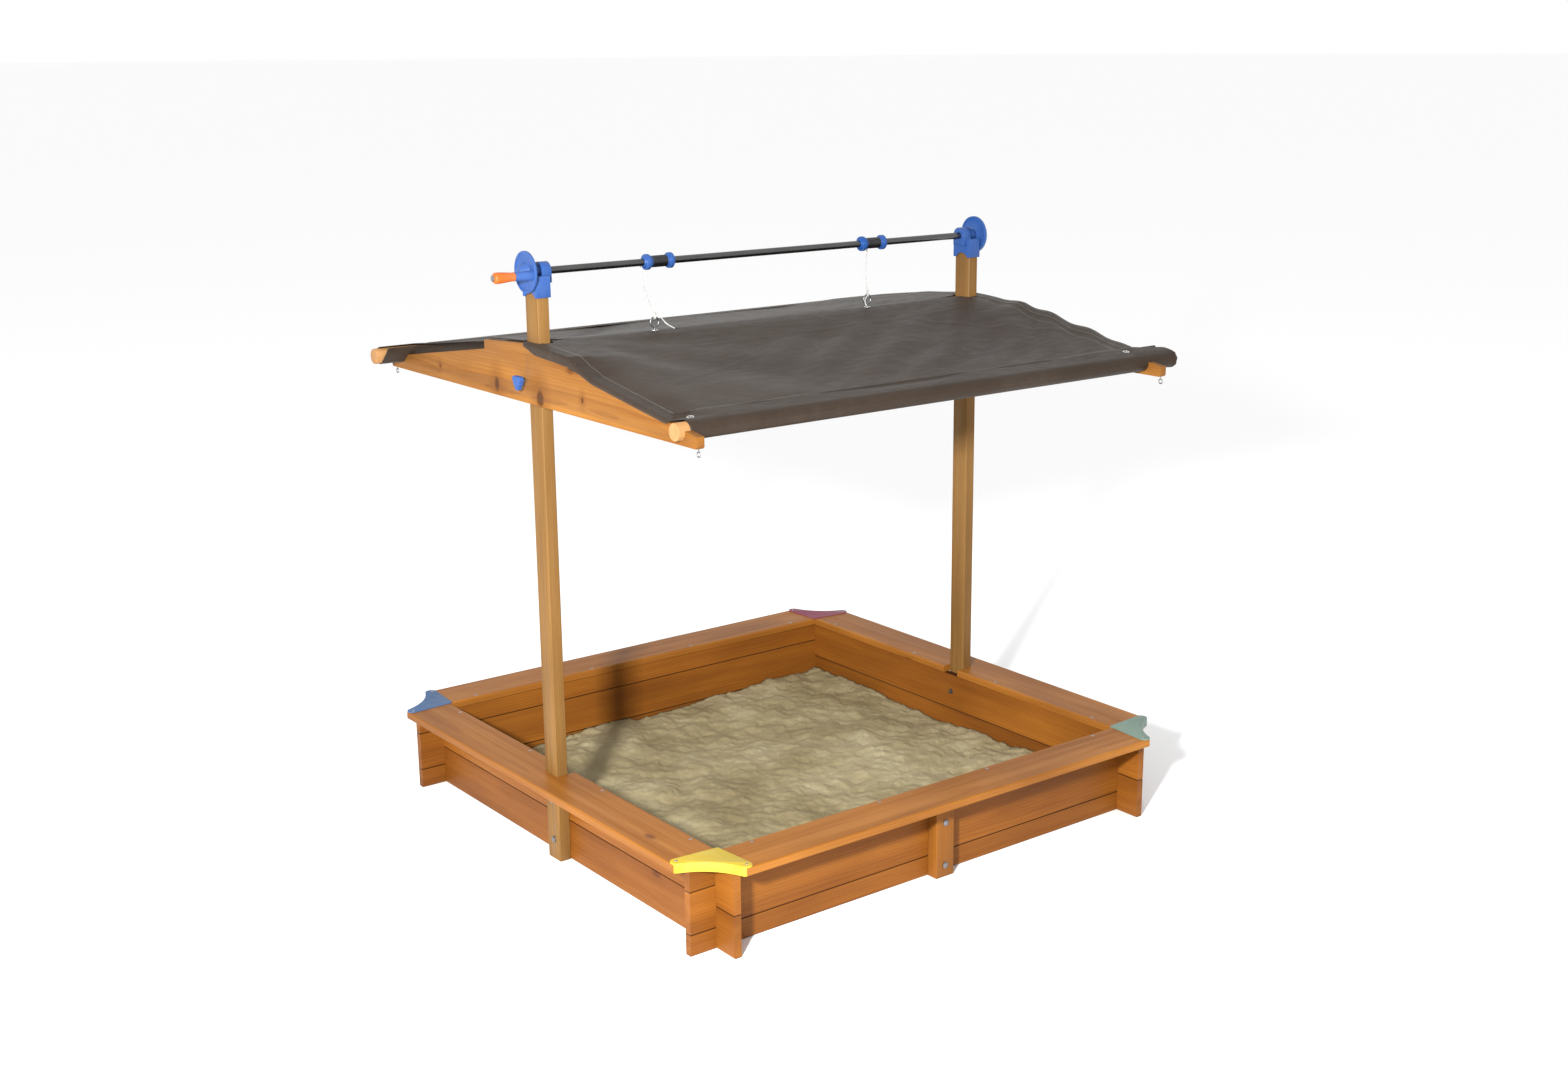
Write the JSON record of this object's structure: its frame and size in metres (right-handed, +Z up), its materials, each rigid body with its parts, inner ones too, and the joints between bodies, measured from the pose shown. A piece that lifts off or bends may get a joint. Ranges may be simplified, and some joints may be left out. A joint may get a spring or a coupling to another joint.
{
  "type": "sandbox with crank-raised roof cover",
  "caption": "Square wooden sandbox with seats and two posts; a hand crank winds cords that raise a fabric gable roof, which lowers onto the box as its cover.",
  "frame": {"origin": "on the ground, at the middle of the box", "axes": "+Z up, X along the winch shaft with the crank at -X, Y across the ridge with the front at -Y"},
  "size_m": [1.47, 1.4, 1.391],
  "materials": {
    "wood_wall": "stained softwood, satin oil",
    "wood_seat": "stained softwood, satin oil",
    "wood_post": "stained softwood, satin oil",
    "wood_gable": "stained softwood, satin oil",
    "wood_rod": "stained turned softwood",
    "cap_yellow": "moulded, fine texture",
    "cap_blue": "moulded, fine texture",
    "cap_plum": "moulded, fine texture",
    "cap_teal": "moulded, fine texture",
    "steel_bright": "zinc plated",
    "steel_ring": "zinc plated wire",
    "steel_tube": "drawn tube, satin",
    "steel_dark": "dark satin",
    "eyelet_metal": "nickel plated",
    "plastic_blue": "moulded, semi gloss",
    "plastic_orange": "moulded, semi gloss",
    "fabric_brown": "coated woven polyester",
    "cord_white": "braided cord",
    "sand_fill": "play sand"
  },
  "bodies": {
    "box": {"wall_front_lower": "wood_wall", "wall_front_middle": "wood_wall", "wall_front_upper": "wood_wall", "wall_back_lower": "wood_wall", "wall_back_middle": "wood_wall", "wall_back_upper": "wood_wall", "wall_left_lower": "wood_wall", "wall_left_upper": "wood_wall", "wall_right_lower": "wood_wall", "wall_right_upper": "wood_wall", "seat_front": "wood_seat", "seat_back": "wood_seat", "seat_left": "wood_seat", "seat_right": "wood_seat", "cap_near": "cap_yellow", "cap_left": "cap_blue", "cap_back": "cap_plum", "cap_right": "cap_teal", "post_left": "wood_post", "post_right": "wood_post", "block_front": "wood_wall", "block_back": "wood_wall", "post_bolts": "steel_bright", "block_bolts": "steel_bright", "seat_screws": "steel_bright", "cap_screws": "steel_bright", "sand": "sand_fill", "bracket_left": "plastic_blue", "bracket_right": "plastic_blue", "bracket_screws": "steel_bright"},
    "winch": {"shaft": "steel_tube", "spool_flanges": "plastic_blue", "spool_barrels": "steel_dark", "crank_wheel": "plastic_blue", "end_disc": "plastic_blue", "handle_pin": "steel_tube"},
    "grip": {"grip": "plastic_orange"},
    "roof": {"gable_left": "wood_gable", "gable_right": "wood_gable", "rod_front": "wood_rod", "rod_back": "wood_rod", "ridge_beam": "wood_gable", "guide_blocks": "wood_gable", "roof_cloth": "fabric_brown", "grommets": "eyelet_metal", "ridge_eyes": "steel_ring", "end_eyes": "steel_bright", "rod_screws": "steel_bright", "cord_left": "cord_white", "cord_right": "cord_white", "cord_knots": "cord_white"},
    "knob_left": {"knob_left": "plastic_blue", "stud_left": "steel_bright"},
    "knob_right": {"knob_right": "plastic_blue", "stud_right": "steel_bright"}
  },
  "joints": [
    {"name": "roof_lift", "type": "slide", "parent": "box", "child": "roof", "axis": [0, 0, 1], "range_m": [-0.855, 0.05], "deforming": ["cord_left", "cord_right"]},
    {"name": "winch_turn", "type": "hinge", "parent": "box", "child": "winch", "pos_m": [0, 0, 1.346], "axis": [1, 0, 0], "range_deg": [-3480, 240]},
    {"name": "grip_spin", "type": "hinge", "parent": "winch", "child": "grip", "pos_m": [-0.712, -0.02667, 1.34178], "axis": [1, 0, 0], "continuous": true},
    {"name": "knob_left_turn", "type": "hinge", "parent": "roof", "child": "knob_left", "pos_m": [-0.675, 0, 1.114], "axis": [1, 0, 0], "range_deg": [-360, 360]},
    {"name": "knob_right_turn", "type": "hinge", "parent": "roof", "child": "knob_right", "pos_m": [0.675, 0, 1.114], "axis": [1, 0, 0], "range_deg": [-360, 360]}
  ],
  "couplings": [
    {"joint": "winch_turn", "follows": "roof_lift", "rad_per_m": 68.966}
  ]
}
